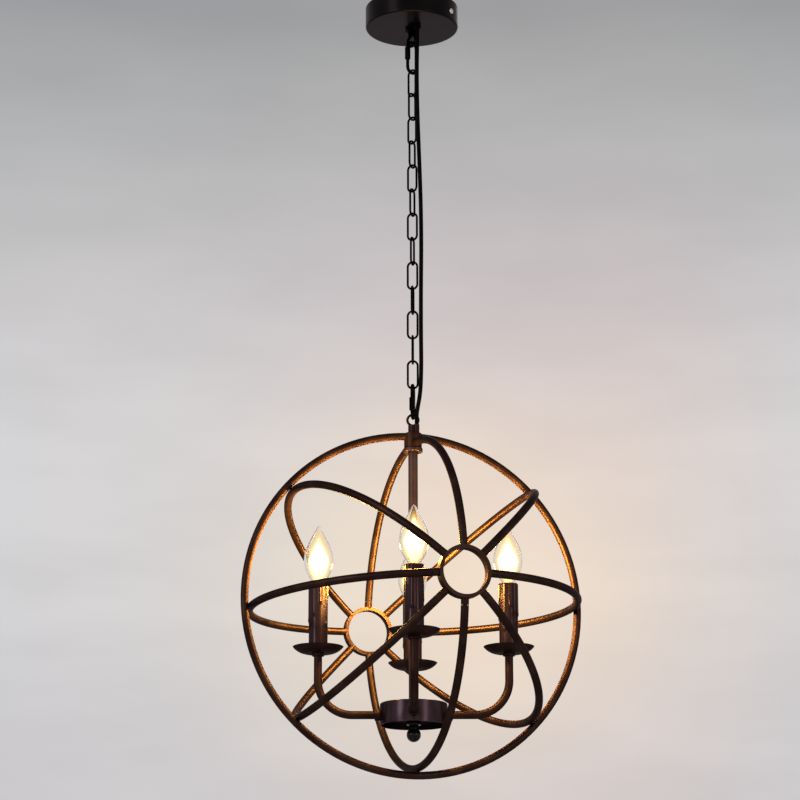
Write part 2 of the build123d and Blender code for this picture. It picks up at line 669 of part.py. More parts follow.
def candle_sleeve():
    bore = CANDLE_DIAMETER - 2 * CANDLE_WALL
    tube = cylinder(CANDLE_DIAMETER, candle_bottom_z, candle_top_z)
    tube = tube - cylinder(bore, candle_bottom_z, candle_top_z)
    return Pos(ARM_REACH, 0, 0) * tube


def lampholder():
    """Foot on the arm's end, strap up one side, and a socket with its bore open at the top."""
    diameter = CANDLE_DIAMETER - 2 * CANDLE_WALL - 2 * HOLDER_CLEARANCE
    foot = cylinder(diameter, arm_top_z, arm_top_z + HOLDER_SKIRT)
    body_bottom = holder_top_z - HOLDER_HEIGHT
    body = cylinder(diameter, body_bottom, holder_top_z)
    bore = BULB_CAP_DIAMETER + 2 * BULB_CAP_CLEARANCE
    body = body - cylinder(bore, socket_floor_z, holder_top_z)
    strap_height = body_bottom - arm_top_z
    strap = Box(HOLDER_STRAP_THICKNESS, HOLDER_STRAP_WIDTH, strap_height, align=BOTTOM)
    strap_x = sqrt((diameter / 2) ** 2 - (HOLDER_STRAP_WIDTH / 2) ** 2) - HOLDER_STRAP_THICKNESS / 2
    return Pos(ARM_REACH, 0, 0) * (foot + body + Pos(strap_x, 0, arm_top_z) * strap)


def bulb():
    """Candle bulb: a cap in the socket and a thin glass envelope, open where the cap closes it."""
    cap_bottom = socket_floor_z + CONTACT_GAP
    glass_bottom = cap_bottom + BULB_CAP_LENGTH
    cap = cylinder(BULB_CAP_DIAMETER, cap_bottom, glass_bottom)
    cap = cap - cylinder(BULB_CAP_DIAMETER - 2 * BULB_CAP_WALL, cap_bottom + BULB_CAP_WALL, glass_bottom)
    outside = bulb_face(0, glass_bottom)
    inside = bulb_face(BULB_GLASS_WALL, glass_bottom)
    glass = revolve(Plane.XZ * (outside - inside), Axis.Z)
    return Compound(children=[Pos(ARM_REACH, 0, 0) * piece for piece in (cap, glass)])


def bulb_face(inset, bottom):
    """Half outline of the glass, moved in by its wall for the hollow, which is open below."""
    neck = BULB_NECK_DIAMETER / 2 - inset
    belly = BULB_DIAMETER / 2 - inset
    tip = BULB_TIP_DIAMETER / 2
    top = bottom + BULB_GLASS_HEIGHT - inset
    neck_top = (neck, bottom + BULB_NECK_HEIGHT)
    belly_point = (belly, bottom + BULB_BELLY_HEIGHT)
    outline = Line((0, bottom), (neck, bottom))
    outline += Line((neck, bottom), neck_top)
    outline += Spline(neck_top, belly_point, tangents=[(BULB_NECK_SLOPE, 1), (0, 1)])
    outline += Spline(belly_point, (tip, top), tangents=[(0, 1), (-BULB_TIP_SLOPE, 1)])
    outline += Line((tip, top), (0, top))
    outline += Line((0, top), (0, bottom))
    return make_face(outline)


def wiring_harness():
    """The main lead down the stem, and one branch out through each arm to its lampholder."""
    harness = harness_tube(HARNESS_DIAMETER)
    points = [(0, 0, arm_z), (ARM_REACH, 0, arm_z), (ARM_REACH, 0, arm_top_z)]
    branch = tube_along(points, [ARM_BEND_RADIUS], HARNESS_DIAMETER)
    for turn in arm_turns().values():
        harness = harness + turn * branch
    return harness


# --- Power cord ---
def cord_radii():
    """For each corner, a share of its shorter run, divided by the tangent of half its turn."""
    points = [Vector(*point) for point in CORD_POINTS]
    radii = []
    for before, corner, after in zip(points, points[1:], points[2:]):
        half_turn = radians((corner - before).get_angle(after - corner)) / 2
        shorter = min((corner - before).length, (after - corner).length)
        radii.append(CORD_ARC_SHARE * shorter / tan(half_turn))
    return radii


def power_cord():
    radii = cord_radii()
    path = FilletPolyline(*CORD_POINTS, radius=radii)
    tube = tube_along(CORD_POINTS, radii, CORD_DIAMETER)
    expected = path.length * pi * CORD_DIAMETER**2 / 4
    print("cord radii", [round(radius) for radius in radii])
    print("cord length %.1f, volume %.1f, section times length %.1f" % (path.length, tube.volume, expected))
    return tube


# --- Every node ---
def around(shape):
    """The same piece at all four arms, as one group."""
    return Compound(children=[turn * shape for turn in arm_turns().values()])


def nodes():
    parts = {
        "mounting_plate": mounting_plate(),
        "canopy": canopy(),
        "canopy_side_screws": canopy_side_screws(),
        "canopy_loop": canopy_loop(),
        "canopy_loop_nut": canopy_loop_nut(),
        "cord_gland": cord_gland(),
        "terminal_block": terminal_block(),
        "canopy_leads": canopy_leads(),
        "power_cord": power_cord(),
        "fixture_loop": fixture_loop(),
        "cage_boss": cage_boss(),
        "stem_collar": stem_collar(),
        "outer_ring": outer_ring(),
        "stem": stem(),
        "hub_body": hub_body(),
        "hub_cover": hub_cover(),
        "hub_nut": hub_nut(),
        "finial": finial(),
        "arm_collars": around(arm_collar()),
        "drip_pans": around(drip_pan()),
        "candle_sleeves": around(candle_sleeve()),
        "lampholders": around(lampholder()),
        "wiring_harness": wiring_harness(),
    }
    parts["upper_quick_link"], parts["upper_quick_link_sleeve"] = upper_quick_link()
    parts["lower_quick_link"], parts["lower_quick_link_sleeve"] = lower_quick_link()
    for number in range(1, CHAIN_LINKS + 1):
        parts["chain_link_%02d" % number] = chain_link(number)
    parts["porthole_front"], parts["porthole_back"] = portholes()
    parts["cage_arc_top_front"], parts["cage_arc_top_back"] = top_arcs()
    for name, angle in ARC_ANGLES.items():
        parts["cage_arc_" + name] = cage_arc(angle)
    for name, turn in arm_turns().items():
        parts["arm_" + name] = turn * arm()
        parts["bulb_" + name] = turn * bulb()
    return parts


os.makedirs("parts", exist_ok=True)
for node, shape in nodes().items():
    export_step(shape, "parts/" + node + ".step")
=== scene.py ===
"""Orb chandelier: its finish, bulbs, candle sleeves and cord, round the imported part. Metres, +Z up."""

import json
import math
import bpy
from mathutils import Matrix, Vector

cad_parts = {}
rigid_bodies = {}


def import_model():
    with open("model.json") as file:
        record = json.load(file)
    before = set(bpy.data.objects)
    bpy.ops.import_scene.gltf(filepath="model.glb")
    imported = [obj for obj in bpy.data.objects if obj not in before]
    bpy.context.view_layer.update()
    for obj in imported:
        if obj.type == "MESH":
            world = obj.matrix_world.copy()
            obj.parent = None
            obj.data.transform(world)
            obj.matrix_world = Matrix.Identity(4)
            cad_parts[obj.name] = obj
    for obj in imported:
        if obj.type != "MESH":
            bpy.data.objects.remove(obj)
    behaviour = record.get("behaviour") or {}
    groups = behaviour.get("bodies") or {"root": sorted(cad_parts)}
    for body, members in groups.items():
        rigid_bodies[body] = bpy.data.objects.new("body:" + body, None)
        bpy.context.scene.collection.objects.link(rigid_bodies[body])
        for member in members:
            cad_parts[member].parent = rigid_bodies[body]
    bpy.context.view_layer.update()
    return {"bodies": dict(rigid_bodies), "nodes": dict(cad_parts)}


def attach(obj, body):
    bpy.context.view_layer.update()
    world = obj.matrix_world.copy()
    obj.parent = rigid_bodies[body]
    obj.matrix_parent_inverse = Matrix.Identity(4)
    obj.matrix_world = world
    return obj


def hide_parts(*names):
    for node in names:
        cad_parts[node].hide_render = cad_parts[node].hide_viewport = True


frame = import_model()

# --- Camera, in degrees and millimetres of lens ---
CAMERA_PLACE = (-0.0273, -3.0672, -1.3409)
CAMERA_YAW = 0.225
CAMERA_PITCH = 15.32
CAMERA_ROLL = -0.08
CAMERA_LENS = 120.51
SENSOR_WIDTH = 36.0
CAMERA_CLIP_END = 100

# --- Arms and candles, where the part has them ---
ARM_REACH = 0.1105
ARM_TURNS = {"right": 0, "back": 90, "left": 180, "front": 270}
CANDLE_BOTTOM_Z = -0.8038
CANDLE_TOP_Z = -0.7235
CANDLE_RADIUS = 0.0115
CANDLE_WALL = 0.0012

# --- Sizes of a candle sleeve: a turned tube with drips down it ---
SLEEVE_INSET = 0.0005
# Nothing further in than this from the candle's outside carries a drip.
SLEEVE_BORE_LIMIT = 0.0008
# The rim: how far it stands over the candle's top, lies in from the outside and out from the
# bore, and how far down the bore it ends.
SLEEVE_RIM_RISE = 0.0002
SLEEVE_RIM_OUTER = 0.0003
SLEEVE_RIM_INNER = 0.0002
SLEEVE_RIM_DROP = 0.0006
SLEEVE_ROWS = 60
SLEEVE_SEGMENTS = 120
DRIP_END = 0.004
DRIP_BEAD_LENGTH = 0.003
DRIP_BEAD_SHARE = 0.35
# How far the drips are turned round on each sleeve, as a share of its arm's own turn.
DRIP_TURN_SHARE = 0.7
# Each drip: where round the sleeve in degrees, its half width in degrees, its length, its height.
SLEEVE_DRIPS = [
    (10, 15, 0.040, 0.0008),
    (48, 12, 0.026, 0.0007),
    (88, 17, 0.052, 0.0009),
    (128, 12, 0.018, 0.0006),
    (165, 16, 0.045, 0.0009),
    (204, 11, 0.022, 0.0007),
    (240, 15, 0.058, 0.0008),
    (282, 13, 0.030, 0.0007),
    (322, 16, 0.048, 0.0009),
]

# --- Sizes of a bulb: its glass, the glow inside it and its cap below ---
BULB_BOTTOM_Z = -0.7452
GLASS_BOTTOM_Z = -0.7250
GLASS_TOP_Z = -0.6540
GLASS_WALL = 0.0008
# The glass's wall at its tip, and how many points of its outline make the tip.
GLASS_TIP_WALL = 0.0006
GLASS_TIP_POINTS = 2
GLASS_SEGMENTS = 64
GLOW_SEGMENTS = 40
AXIS_RADIUS = 0.0001
# The glass's radius at each share of its height, in the shape of a candle bulb.
BULB_OUTLINE = [
    (0.00, 0.0064), (0.04, 0.0066), (0.09, 0.0090), (0.16, 0.0124),
    (0.24, 0.0152), (0.33, 0.0169), (0.42, 0.0174), (0.51, 0.0168),
    (0.60, 0.0152), (0.69, 0.0127), (0.77, 0.0099), (0.85, 0.0068),
    (0.92, 0.0042), (0.97, 0.0026), (0.99, 0.0015), (1.00, 0.0002),
]

# --- Threaded cap of a bulb ---
# Each point of its foot: radius, height above the cap's bottom.
CAP_FOOT = [(AXIS_RADIUS, 0.0), (0.0030, 0.0), (0.0034, 0.0006), (0.0040, 0.0012), (0.0053, 0.0026)]
CAP_RADIUS = 0.0054
CAP_RIM_RADIUS = 0.0060
CAP_RIM_RISE = 0.0006
CAP_ROWS = 44
CAP_SEGMENTS = 48
THREAD_PITCH = 0.0028
THREAD_DEPTH = 0.00045
THREAD_START = 0.003
THREAD_STOP = 0.002
THREAD_FADE = 0.002
THREAD_MIN_RADIUS = 0.005

# --- Light of the bulbs ---
BULB_LIGHT_WATTS = 3.2
BULB_LIGHT_COLOUR = (1.0, 0.61, 0.11)
BULB_LIGHT_RADIUS = 0.016
BULB_LIGHT_SHARE = 0.40

# --- Power cord: the part's own route, with one more point on its straight end in the spout ---
CORD_DIAMETER = 0.005
CORD_POINTS = [
    (0.0065, -0.0120, -0.0200),
    (0.0065, -0.0120, -0.0450),
    (0.0057, -0.0113, -0.0880),
    (0.0063, -0.0109, -0.1360),
    (0.0082, -0.0097, -0.1920),
    (0.0101, -0.0083, -0.2500),
    (0.0107, -0.0076, -0.3060),
    (0.0100, -0.0071, -0.3620),
    (0.0098, -0.0064, -0.4150),
    (0.0102, -0.0059, -0.4610),
    (0.0090, -0.0056, -0.4940),
    (0.0045, -0.0052, -0.5170),
    (0.0045, -0.0052, -0.5235),
    (0.0045, -0.0052, -0.5321),
]
# The body that carries each of those points.
CORD_BODIES = [
    "ceiling_side", "ceiling_side", "link_01_body", "link_02_body", "link_04_body",
    "link_06_body", "link_08_body", "link_10_body", "link_11_body", "link_13_body",
    "lower_quick_link_body", "lower_quick_link_body", "pendant", "pendant",
]

# --- Floor and wall ---
FLOOR_Z = -3.2
FLOOR_HALF_WIDTH = 14.0
# The wall's colours from low to high, each at the upward part of the way one looks at it.
WALL_COOL = [
    (0.124, (0.60, 0.59, 0.61)),
    (0.192, (0.64, 0.635, 0.65)),
    (0.246, (0.66, 0.655, 0.67)),
    (0.300, (0.58, 0.57, 0.58)),
    (0.353, (0.46, 0.465, 0.475)),
    (0.384, (0.38, 0.385, 0.395)),
    (0.400, (0.33, 0.335, 0.35)),
]
# The same colours with the bulbs' warm light painted on the wall.
WALL_PAINTED_LAMPLIGHT = [
    (0.124, (0.66, 0.60, 0.59)),
    (0.192, (0.78, 0.68, 0.61)),
    (0.246, (0.74, 0.645, 0.60)),
    (0.300, (0.60, 0.545, 0.55)),
    (0.353, (0.475, 0.465, 0.47)),
    (0.384, (0.40, 0.40, 0.40)),
    (0.400, (0.35, 0.35, 0.36)),
]
# How much painted warm bulb light the wall carries, from its left edge to its right one.
PAINTED_LAMPLIGHT_SPREAD = [
    (0.0, (0.0, 0.0, 0.0)),
    (0.3, (0.3, 0.3, 0.3)),
    (0.6, (1, 1, 1)),
    (0.8, (1, 1, 1)),
    (1.0, (0.2, 0.2, 0.2)),
]
# The sideways part of the way one looks at those two edges.
WALL_EDGE = 0.15
# The way from the camera to the middle of the orb, behind which a pool of the bulbs' warm light is
# painted on the wall.
ORB_DIRECTION = (0.0087, 0.9817, 0.1904)
# The painted pool of bulb light: where it is full, where it ends, and its tint.
PAINTED_GLOW_INNER = 0.02
PAINTED_GLOW_OUTER = 0.105
PAINTED_GLOW_COLOUR = (1.13, 1.08, 0.97, 1)
CLOUD_STRETCH = (1.0, 1.0, 3.5)
CLOUD_SCALE = 14.0
CLOUD_RANGE = (0.965, 1.035)
ROOM_LIGHT_COLOUR = (0.95, 0.97, 1.0, 1)
ROOM_LIGHT_STRENGTH = 0.42


def add_camera():
    yaw = math.radians(CAMERA_YAW)
    pitch = math.radians(CAMERA_PITCH)
    roll = math.radians(CAMERA_ROLL)
    level = math.cos(pitch)
    forward = Vector((math.sin(yaw) * level, math.cos(yaw) * level, math.sin(pitch)))
    right = forward.cross(Vector((0, 0, 1))).normalized()
    up = right.cross(forward)
    rolled_right = math.cos(roll) * right + math.sin(roll) * up
    rolled_up = math.cos(roll) * up - math.sin(roll) * right
    data = bpy.data.cameras.new("camera")
    data.lens = CAMERA_LENS
    data.sensor_width = SENSOR_WIDTH
    data.clip_end = CAMERA_CLIP_END
    camera = bpy.data.objects.new("camera", data)
    turn = Matrix((rolled_right, rolled_up, -forward)).transposed().to_4x4()
    camera.matrix_world = Matrix.Translation(CAMERA_PLACE) @ turn
    bpy.context.scene.collection.objects.link(camera)
    bpy.context.scene.camera = camera


# --- Node helpers ---
def new_material(name):
    made = bpy.data.materials.new(name)
    made.use_nodes = True
    tree = made.node_tree
    tree.nodes.clear()
    output = tree.nodes.new("ShaderNodeOutputMaterial")
    shader = tree.nodes.new("ShaderNodeBsdfPrincipled")
    tree.links.new(shader.outputs["BSDF"], output.inputs["Surface"])
    return made, tree, shader


def noise(tree, coordinates, scale, detail=4.0, roughness=0.55):
    node = tree.nodes.new("ShaderNodeTexNoise")
    node.inputs["Scale"].default_value = scale
    node.inputs["Detail"].default_value = detail
    node.inputs["Roughness"].default_value = roughness
    tree.links.new(coordinates, node.inputs["Vector"])
    return node.outputs["Fac"]


def ramp(tree, value, stops):
    node = tree.nodes.new("ShaderNodeValToRGB")
    elements = node.color_ramp.elements
    while len(elements) < len(stops):
        elements.new(0.5)
    for element, (place, colour) in zip(elements, stops):
        element.position = place
        element.color = (*colour, 1.0)
    tree.links.new(value, node.inputs["Fac"])
    return node.outputs["Color"]


def map_range(tree, value, source, target=(0.0, 1.0)):
    """The value, with the source's two ends laid on the target's."""
    node = tree.nodes.new("ShaderNodeMapRange")
    node.inputs["From Min"].default_value = source[0]
    node.inputs["From Max"].default_value = source[1]
    node.inputs["To Min"].default_value = target[0]
    node.inputs["To Max"].default_value = target[1]
    tree.links.new(value, node.inputs["Value"])
    return node


def spread(tree, value, target):
    """A noise's usual range, from 0.3 to 0.7, laid on the target's."""
    return map_range(tree, value, (0.3, 0.7), target).outputs["Result"]


def bump(tree, shader, height, strength, distance):
    node = tree.nodes.new("ShaderNodeBump")
    node.inputs["Strength"].default_value = strength
    node.inputs["Distance"].default_value = distance
    tree.links.new(height, node.inputs["Height"])
    tree.links.new(node.outputs["Normal"], shader.inputs["Normal"])


def mapped(tree, coordinates, stretch):
    node = tree.nodes.new("ShaderNodeMapping")
    node.inputs["Scale"].default_value = stretch
    tree.links.new(coordinates, node.inputs["Vector"])
    return node.outputs["Vector"]


def object_coordinates(tree, stretch=(1, 1, 1)):
    coordinates = tree.nodes.new("ShaderNodeTexCoord").outputs["Object"]
    return mapped(tree, coordinates, stretch)


def finish_material(name, dark, mid, light, metallic, rough, grain, depth,
                    patch=35.0, stretch=(1, 1, 1), shine=0.3, edge=(1, 1, 1)):
    """Mottled finish: colours and roughness by a broad noise, and a slight bump by a fine one.

    rough is the roughness's two ends, grain and patch the scales of the fine and the broad noise,
    depth the bump's height, shine the reflection of what isn't metal and edge its tint.
    """
    made, tree, shader = new_material(name)
    place = object_coordinates(tree, stretch)
    broad = noise(tree, place, patch, 3.0, 0.55)
    fine = noise(tree, place, grain, 2.0, 0.5)
    colour = ramp(tree, broad, [(0.32, dark), (0.5, mid), (0.68, light)])
    tree.links.new(colour, shader.inputs["Base Color"])
    tree.links.new(spread(tree, broad, rough), shader.inputs["Roughness"])
    shader.inputs["Metallic"].default_value = metallic
    shader.inputs["Specular IOR Level"].default_value = shine
    shader.inputs["Specular Tint"].default_value = (*edge, 1)
    bump(tree, shader, fine, 0.35, depth)
    return made


# --- Materials ---
# The dark metal's reflection at a glancing view, which its oiled surface holds down.
DARK_EDGE = (0.30, 0.20, 0.20)
BRONZE = finish_material(
    "oiled_bronze", (0.025, 0.012, 0.010), (0.036, 0.017, 0.013), (0.054, 0.027, 0.020),
    0.8, (0.38, 0.46), 900.0, 0.00001, edge=DARK_EDGE)
CANOPY_PAINT = finish_material(
    "canopy_bronze", (0.007, 0.005, 0.005), (0.009, 0.007, 0.007), (0.012, 0.009, 0.009),
    0.85, (0.26, 0.32), 700.0, 0.00001, 20.0, edge=(0.80, 0.74, 0.77))
HUB_BRONZE = finish_material(
    "hub_bronze", (0.036, 0.022, 0.027), (0.048, 0.030, 0.037), (0.064, 0.042, 0.050),
    0.9, (0.20, 0.26), 800.0, 0.00001, 26.0, edge=DARK_EDGE)
CHAIN_BRONZE = finish_material(
    "chain_bronze", (0.0015, 0.0013, 0.0013), (0.0025, 0.002, 0.002), (0.006, 0.005, 0.004),
    0.85, (0.30, 0.40), 1200.0, 0.00001, 90.0, edge=(0.10, 0.08, 0.08))
STEM_BRONZE = finish_material(
    "stem_bronze", (0.040, 0.024, 0.026), (0.052, 0.031, 0.034), (0.066, 0.042, 0.044),
    0.8, (0.34, 0.42), 900.0, 0.00001, 30.0, edge=DARK_EDGE)
SLEEVE_BRONZE = finish_material(
    "sleeve_bronze", (0.026, 0.014, 0.015), (0.038, 0.021, 0.023), (0.058, 0.034, 0.034),
    0.8, (0.17, 0.25), 500.0, 0.00002, 40.0, (1, 1, 0.3), edge=DARK_EDGE)
FINIAL_BLACK = finish_material(
    "finial_black", (0.010, 0.008, 0.008), (0.014, 0.011, 0.011), (0.022, 0.017, 0.016),
    0.5, (0.10, 0.16), 600.0, 0.00002)
ZINC = finish_material(
    "zinc", (0.42, 0.42, 0.43), (0.55, 0.55, 0.56), (0.66, 0.66, 0.66),
    1.0, (0.28, 0.42), 1500.0, 0.00003, 120.0)
SILVER = finish_material(
    "silver_screw", (0.62, 0.61, 0.60), (0.74, 0.73, 0.72), (0.84, 0.83, 0.82),
    1.0, (0.16, 0.26), 1500.0, 0.00002, 200.0)
BLACK_PLASTIC = finish_material(
    "black_plastic", (0.012, 0.012, 0.012), (0.018, 0.018, 0.018), (0.026, 0.026, 0.026),
    0.0, (0.45, 0.60), 1800.0, 0.00005, 90.0)
WHITE_PLASTIC = finish_material(
    "white_plastic", (0.70, 0.69, 0.66), (0.76, 0.75, 0.72), (0.80, 0.79, 0.77),
    0.0, (0.40, 0.55), 1600.0, 0.00004, 80.0)
LEAD_SHEATH = finish_material(
    "lead_sheath", (0.16, 0.08, 0.04), (0.20, 0.10, 0.05), (0.24, 0.13, 0.07),
    0.0, (0.40, 0.55), 1200.0, 0.00003, 80.0)
CORD_SHEATH = finish_material(
    "cord_sheath", (0.0012, 0.0012, 0.0012), (0.002, 0.002, 0.002), (0.004, 0.004, 0.004),
    0.0, (0.42, 0.55), 1400.0, 0.00005, 120.0, shine=0.02)
NICKEL = finish_material(
    "nickel", (0.52, 0.50, 0.46), (0.63, 0.61, 0.57), (0.72, 0.70, 0.66),
    1.0, (0.18, 0.30), 1400.0, 0.00002, 150.0)

# What isn't named here or a chain link is of the plain bronze.
NODE_MATERIALS = {
    "mounting_plate": ZINC,
    "canopy": CANOPY_PAINT,
    "canopy_side_screws": SILVER,
    "canopy_loop": CHAIN_BRONZE,
    "canopy_loop_nut": ZINC,
    "cord_gland": CORD_SHEATH,
    "terminal_block": WHITE_PLASTIC,
    "canopy_leads": LEAD_SHEATH,
    "power_cord": CORD_SHEATH,
    "stem": STEM_BRONZE,
    "stem_collar": STEM_BRONZE,
    "hub_body": HUB_BRONZE,
    "hub_cover": HUB_BRONZE,
    "hub_nut": ZINC,
    "finial": FINIAL_BLACK,
    "lampholders": BLACK_PLASTIC,
    "wiring_harness": LEAD_SHEATH,
    "upper_quick_link": CHAIN_BRONZE,
    "upper_quick_link_sleeve": CHAIN_BRONZE,
    "lower_quick_link": CHAIN_BRONZE,
    "lower_quick_link_sleeve": CHAIN_BRONZE,
}


def dress_nodes():
    for name, piece in frame["nodes"].items():
        chosen = NODE_MATERIALS.get(name, BRONZE)
        if name.startswith("chain_link"):
            chosen = CHAIN_BRONZE
        piece.data.materials.clear()
        piece.data.materials.append(chosen)


def glow_material(name, low, high, strength, alpha):
    """Glowing surface of a lit bulb: low at the bulb's two ends, high at its belly."""
    made, tree, shader = new_material(name)
    coordinates = tree.nodes.new("ShaderNodeTexCoord").outputs["Object"]
    split = tree.nodes.new("ShaderNodeSeparateXYZ")
    tree.links.new(coordinates, split.inputs["Vector"])
    height = map_range(tree, split.outputs["Z"], (GLASS_BOTTOM_Z, GLASS_TOP_Z)).outputs["Result"]
    colour = ramp(tree, height, [(0.1, low), (0.45, high), (0.9, low)])
    tree.links.new(colour, shader.inputs["Emission Color"])
    shader.inputs["Emission Strength"].default_value = strength
    shader.inputs["Base Color"].default_value = (0, 0, 0, 1)
    shader.inputs["Specular IOR Level"].default_value = 0.0
    shader.inputs["Roughness"].default_value = 1.0
    shader.inputs["Alpha"].default_value = alpha
    made.cycles.emission_sampling = "NONE"
    return made


def glass_material():
    made, tree, shader = new_material("bulb_glass")
    place = object_coordinates(tree)
    shader.inputs["Base Color"].default_value = (1.0, 0.98, 0.94, 1)
    shader.inputs["Transmission Weight"].default_value = 1.0
    shader.inputs["IOR"].default_value = 1.12
    tree.links.new(spread(tree, noise(tree, place, 60.0), (0.0, 0.04)), shader.inputs["Roughness"])
    return made


GLASS = glass_material()
# Each layer of a bulb's light, from the innermost out: its name, its width against the glass's, the
# lowest and highest share of the glass's height, its colours, its strength and how opaque it is.
GLOW_LAYERS = [
    ("core", 0.46, 0.10, 0.70, (1.0, 0.90, 0.62), (1.0, 0.98, 0.92), 3.0, 1.0),
    ("glow_1", 0.55, 0.08, 0.75, (1.0, 0.88, 0.54), (1.0, 0.98, 0.88), 2.6, 0.66),
    ("glow_2", 0.64, 0.06, 0.80, (1.0, 0.82, 0.40), (1.0, 0.96, 0.78), 2.0, 0.46),
    ("glow_3", 0.73, 0.05, 0.85, (1.0, 0.68, 0.22), (1.0, 0.90, 0.55), 1.3, 0.28),
    ("glow_4", 0.82, 0.04, 0.90, (1.0, 0.62, 0.16), (1.0, 0.86, 0.45), 1.1, 0.18),
    ("glow_5", 0.91, 0.03, 0.95, (1.0, 0.58, 0.14), (1.0, 0.82, 0.38), 1.0, 0.10),
]
GLOWS = {layer[0]: glow_material("bulb_" + layer[0], *layer[4:]) for layer in GLOW_LAYERS}


# --- Mesh helpers ---
def link_mesh(name, vertices, faces, chosen, smooth=True):
    mesh = bpy.data.meshes.new(name)
    mesh.from_pydata(vertices, [], faces)
    mesh.update()
    for face in mesh.polygons:
        face.use_smooth = smooth
    mesh.materials.append(chosen)
    piece = bpy.data.objects.new(name, mesh)
    bpy.context.scene.collection.objects.link(piece)
    return piece


def lathe(name, centre, profile, chosen, segments, shape=None, closed=False):
    """Surface turned about an upright axis. shape(angle, radius, z) may change a point's radius."""
    vertices = []
    for radius, z in profile:
        for step in range(segments):
            angle = 2 * math.pi * step / segments
            size = shape(angle, radius, z) if shape else radius
            x = centre[0] + size * math.cos(angle)
            y = centre[1] + size * math.sin(angle)
            vertices.append((x, y, z))
    rings = len(profile)
    faces = []
    for ring in range(rings if closed else rings - 1):
        low = ring * segments
        high = ((ring + 1) % rings) * segments
        for step in range(segments):
            after = (step + 1) % segments
            faces.append((low + step, low + after, high + after, high + step))
    return link_mesh(name, vertices, faces, chosen)


def subdivide(piece):
    modifier = piece.modifiers.new("smooth", "SUBSURF")
    modifier.levels = 1
    modifier.render_levels = 1


def arm_place(name):
    angle = math.radians(ARM_TURNS[name])
    return ARM_REACH * math.cos(angle), ARM_REACH * math.sin(angle)


def smooth_step(share):
    """From 0 to 1 with soft ends, as the share goes from 0 to 1."""
    share = min(1.0, max(0.0, share))
    return share * share * (3 - 2 * share)


# --- Bulbs ---
def bulb_profile(scale, low_share, high_share, inset=0.0):
    """The outline's radii scaled, laid between two shares of the glass's height."""
    height = GLASS_TOP_Z - GLASS_BOTTOM_Z
    points = []
    for share, radius in BULB_OUTLINE:
        share = low_share + (high_share - low_share) * share
        points.append((max(AXIS_RADIUS, radius * scale - inset), GLASS_BOTTOM_Z + share * height))
    return points


def add_bulb_glass(name, centre):
    outside = bulb_profile(1.0, 0.0, 1.0)
    inside = bulb_profile(1.0, 0.0, 1.0, GLASS_WALL)
    for number in range(len(inside) - GLASS_TIP_POINTS, len(inside)):
        radius, z = inside[number]
        inside[number] = (radius, z - GLASS_TIP_WALL)
    profile = outside + inside[::-1]
    glass = lathe("bulb_glass_" + name, centre, profile, GLASS, GLASS_SEGMENTS, closed=True)
    subdivide(glass)
    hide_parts("bulb_" + name)
    return glass


def add_bulb_glow(name, centre, layer, width, bottom_share, top_share):
    profile = bulb_profile(width, bottom_share, top_share)
    piece = lathe("bulb_%s_%s" % (layer, name), centre, profile, GLOWS[layer], GLOW_SEGMENTS)
    subdivide(piece)
    return piece


def thread(angle, radius, z):
    """The radius with a screw's waves on it, which fade out at both ends of the cap."""
    if radius < THREAD_MIN_RADIUS:
        return radius
    turns = (z - BULB_BOTTOM_Z) / THREAD_PITCH
    fade = smooth_step((z - BULB_BOTTOM_Z - THREAD_START) / THREAD_FADE)
    fade *= smooth_step((GLASS_BOTTOM_Z - THREAD_STOP - z) / THREAD_FADE)
    return radius + THREAD_DEPTH * fade * math.cos(angle - 2 * math.pi * turns)


def add_bulb_cap(name, centre):
    height = GLASS_BOTTOM_Z - BULB_BOTTOM_Z - THREAD_START
    profile = [(radius, BULB_BOTTOM_Z + rise) for radius, rise in CAP_FOOT]
    for row in range(CAP_ROWS + 1):
        profile.append((CAP_RADIUS, BULB_BOTTOM_Z + THREAD_START + height * row / CAP_ROWS))
    profile.append((CAP_RIM_RADIUS, GLASS_BOTTOM_Z + CAP_RIM_RISE))
    return lathe("bulb_cap_" + name, centre, profile, NICKEL, CAP_SEGMENTS, thread)


def add_bulb(name):
    body = "bulb_%s_body" % name
    centre = arm_place(name)
    clear = [add_bulb_glass(name, centre)]
    for layer in GLOW_LAYERS:
        clear.append(add_bulb_glow(name, centre, *layer[:4]))
    for piece in clear + [add_bulb_cap(name, centre)]:
        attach(piece, body)
    # Their light on other pieces comes from the lamp inside, so it isn't counted twice.
    for piece in clear:
        piece.visible_shadow = False
        piece.visible_glossy = False
        piece.visible_diffuse = False
    add_bulb_light(name, centre, body)


def add_bulb_light(name, centre, body):
    data = bpy.data.lights.new("bulb_light_" + name, "POINT")
    data.energy = BULB_LIGHT_WATTS
    data.color = BULB_LIGHT_COLOUR
    data.shadow_soft_size = BULB_LIGHT_RADIUS
    lamp = bpy.data.objects.new("bulb_light_" + name, data)
    level = GLASS_BOTTOM_Z + BULB_LIGHT_SHARE * (GLASS_TOP_Z - GLASS_BOTTOM_Z)
    lamp.location = (centre[0], centre[1], level)
    lamp.visible_camera = False
    bpy.context.scene.collection.objects.link(lamp)
    lamp.parent = frame["bodies"][body]


# --- Candle sleeves ---
def drip_height(angle, z):
    """How far the drips stand out of the sleeve at this angle and level."""
    degrees = math.degrees(angle) % 360
    below = CANDLE_TOP_Z - z
    height = 0.0
    for middle, half, length, tall in SLEEVE_DRIPS:
        away = abs((degrees - middle + 180) % 360 - 180) / half
        if away < 1 and below < length:
            end = smooth_step((length - below) / DRIP_END)
            bead_place = (length - DRIP_END - below) / DRIP_BEAD_LENGTH
            bead = DRIP_BEAD_SHARE * math.exp(-bead_place ** 2)
            height = max(height, tall * (1 - away * away) * (end + bead * end))
    return height


